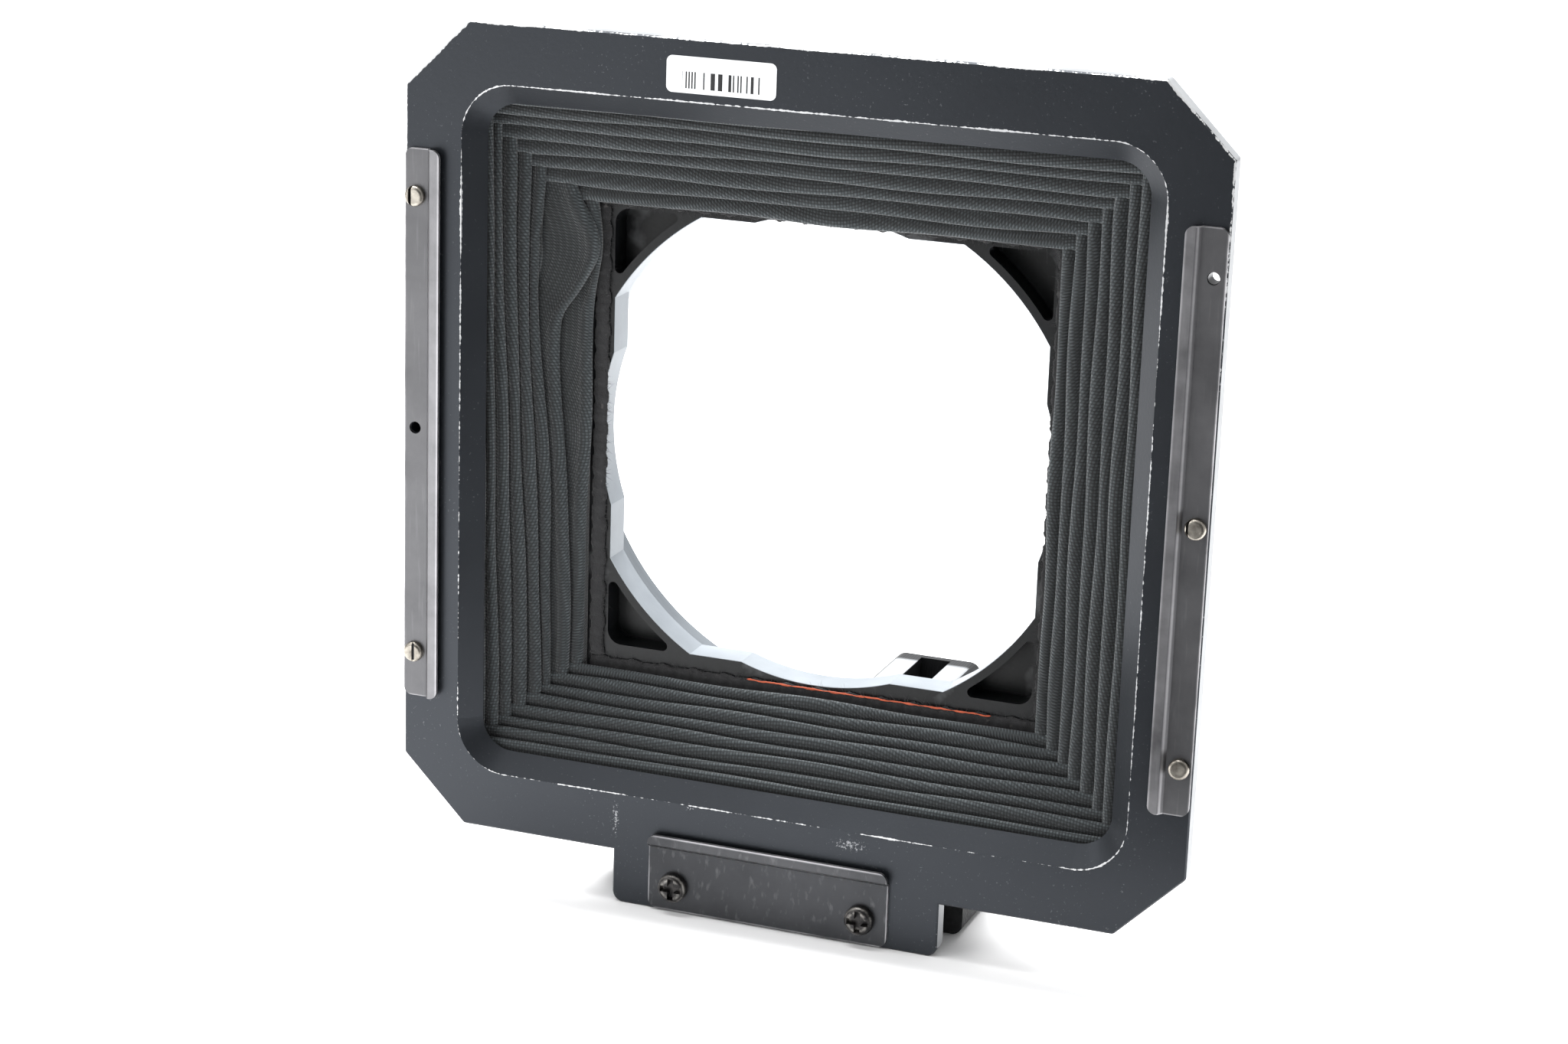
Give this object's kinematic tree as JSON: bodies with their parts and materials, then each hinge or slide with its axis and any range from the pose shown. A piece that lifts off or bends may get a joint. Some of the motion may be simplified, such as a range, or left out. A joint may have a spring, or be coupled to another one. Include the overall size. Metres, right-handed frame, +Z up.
{
  "type": "view camera bellows mask holder",
  "caption": "Square front frame with side guides for sliding masks, folded cloth bellows and a rear frame with a round lens ring that slides on a support rail.",
  "frame": {"origin": "bottom centre of the whole object, on the surface that the tab and the carriage stand on", "axes": "+Z up, +Y backwards along the optical axis towards the camera, +X to the right as seen from the front"},
  "size_m": [0.22, 0.1426, 0.2349],
  "materials": {
    "black_paint": "satin black paint, chipped to bare aluminium along the edges",
    "gunmetal": "blackened sheet steel, rubbed bright along the lips",
    "nickel": "worn nickel-plated steel",
    "black_steel": "black oxide steel, worn on the arms of the recess",
    "label": "white self-adhesive film",
    "bellows_cloth": "dark rubber-backed cotton",
    "black_card": "black fibre board",
    "black_anodised": "black anodised aluminium",
    "satin_aluminium": "natural satin anodised aluminium, fine turning lines",
    "cast_paint": "rough black paint on cast aluminium",
    "felt": "black felt with frayed edges",
    "orange_tape": "edge of orange adhesive tape",
    "black_plastic": "moulded black plastic",
    "steel": "bright turned steel",
    "nylon": "natural nylon"
  },
  "bodies": {
    "front_standard": {"front_plate": "black_paint", "left_guide_rail": "gunmetal", "right_guide_rail": "gunmetal", "guide_rail_screws": "nickel", "bottom_clip": "gunmetal", "clip_screws": "black_steel", "inventory_label": "label", "bellows_front_frame": "black_card", "bellows": "bellows_cloth", "rail_bracket": "cast_paint", "bracket_screws": "black_steel", "rail_screws": "black_steel", "support_rail": "black_anodised", "camera_shoe": "black_anodised", "shoe_screws": "nickel"},
    "rear_standard": {"rear_frame": "black_paint", "lens_ring": "satin_aluminium", "lens_ring_screws": "nickel", "felt_strip_top": "felt", "felt_strip_bottom": "felt", "felt_strip_left": "felt", "felt_strip_right": "felt", "adhesive_edge": "orange_tape", "carriage": "cast_paint", "carriage_screws": "black_steel"},
    "lock": {"lock_stud": "steel", "stud_tip": "nylon", "lock_knob": "black_plastic"}
  },
  "joints": [
    {"name": "bellows_extension", "type": "slide", "parent": "front_standard", "child": "rear_standard", "axis": [0, 1, 0], "range_m": [0, 0.064], "deforming": ["bellows"]},
    {"name": "lock_turn", "type": "hinge", "parent": "rear_standard", "child": "lock", "pos_m": [-0.05, -0.0457, 0.0189], "axis": [-1, 0, 0], "range_deg": [0, 180]}
  ]
}
